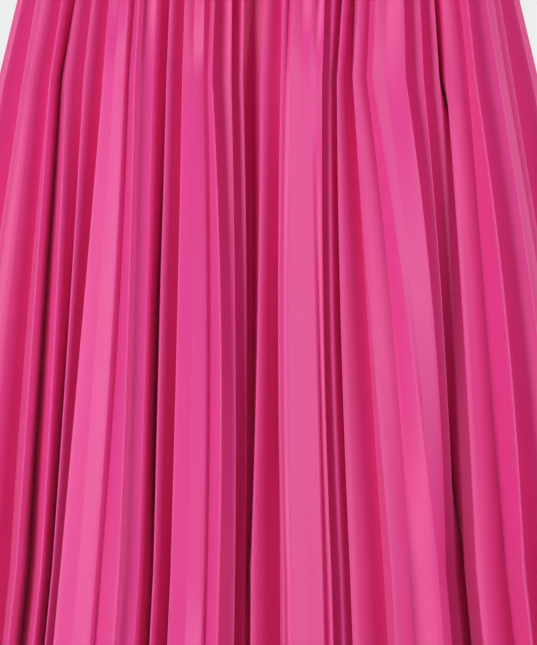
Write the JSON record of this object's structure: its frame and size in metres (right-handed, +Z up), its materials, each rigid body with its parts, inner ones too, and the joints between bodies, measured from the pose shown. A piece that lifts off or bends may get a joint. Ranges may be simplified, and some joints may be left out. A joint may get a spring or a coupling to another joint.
{
  "type": "pleated midi skirt",
  "caption": "Worn pull-on midi skirt of sunray pleats hanging in deep folds from a plain elastic waistband, open at the waist and the hem.",
  "frame": {"origin": "centre of the waistband, where the waist holds the skirt", "axes": "+Z up, the front faces -Y, and +X is to the right of someone who faces the front"},
  "size_m": [0.6118, 0.4541, 0.8],
  "materials": {
    "pleated_cloth": "hot pink crepe satin with a soft sheen, heat-set in sharp pleats",
    "band_cloth": "hot pink covered elastic, finely ribbed"
  },
  "bodies": {
    "root": {"waistband": "band_cloth", "front_panel": "pleated_cloth", "back_panel": "pleated_cloth"}
  },
  "joints": []
}
